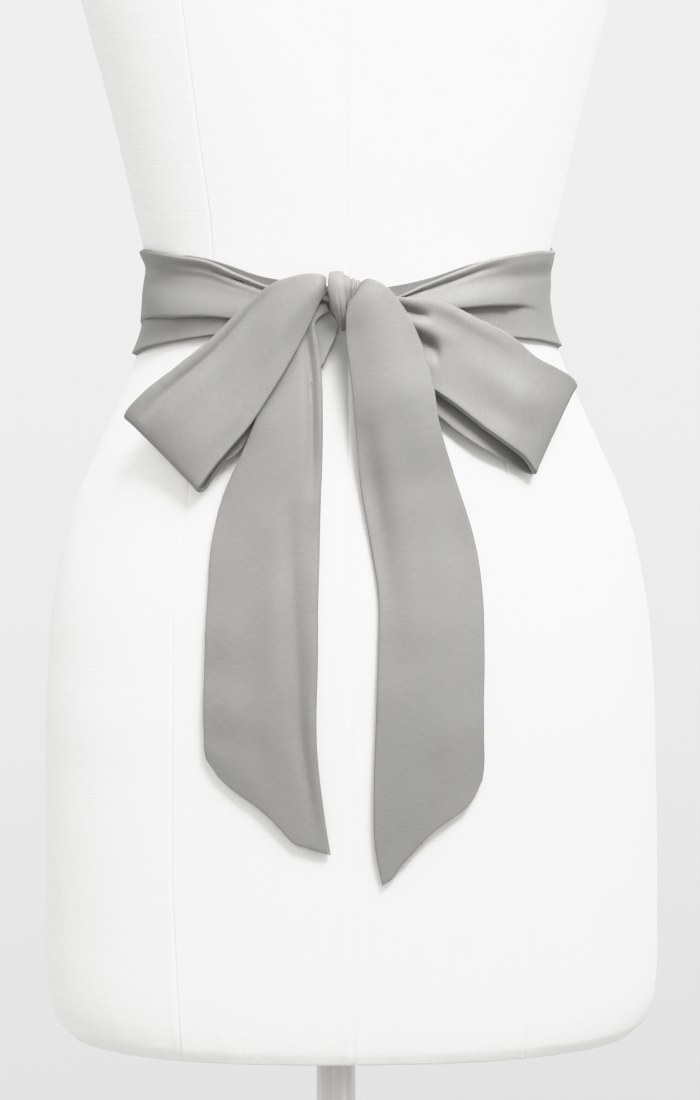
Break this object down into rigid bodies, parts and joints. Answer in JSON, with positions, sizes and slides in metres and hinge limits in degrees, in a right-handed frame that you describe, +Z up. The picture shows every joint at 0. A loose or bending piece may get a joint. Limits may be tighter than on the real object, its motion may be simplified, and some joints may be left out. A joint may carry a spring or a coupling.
{
  "type": "satin sash tied in a bow on a dress form",
  "caption": "Grey satin sash wrapped round the waist of a white dress form and tied at the back in a soft bow with long slanted tails.",
  "frame": {"origin": "centre of the stand's underside, on the pole's axis", "axes": "+Z up the pole, -Y towards the bow at the form's back, +X to the right as the bow is faced"},
  "size_m": [0.41, 0.41, 1.508],
  "materials": {
    "form_cover": "matte white canvas drawn smooth over the form",
    "satin": "grey satin with a low soft sheen and a fine ribbed weave",
    "pole_steel": "satin steel tube",
    "base_enamel": "smooth white enamel"
  },
  "bodies": {
    "root": {"form_body": "form_cover", "sash_band": "satin", "sash_tuck_left": "satin", "sash_tuck_right": "satin", "sash_loop_left": "satin", "sash_loop_right": "satin", "sash_tail_left": "satin", "sash_tail_left_under": "satin", "sash_tail_right": "satin", "knot_core": "satin", "knot_wrap": "satin", "knot_pleats": "satin", "stand_pole": "pole_steel", "stand_base": "base_enamel"}
  },
  "joints": []
}
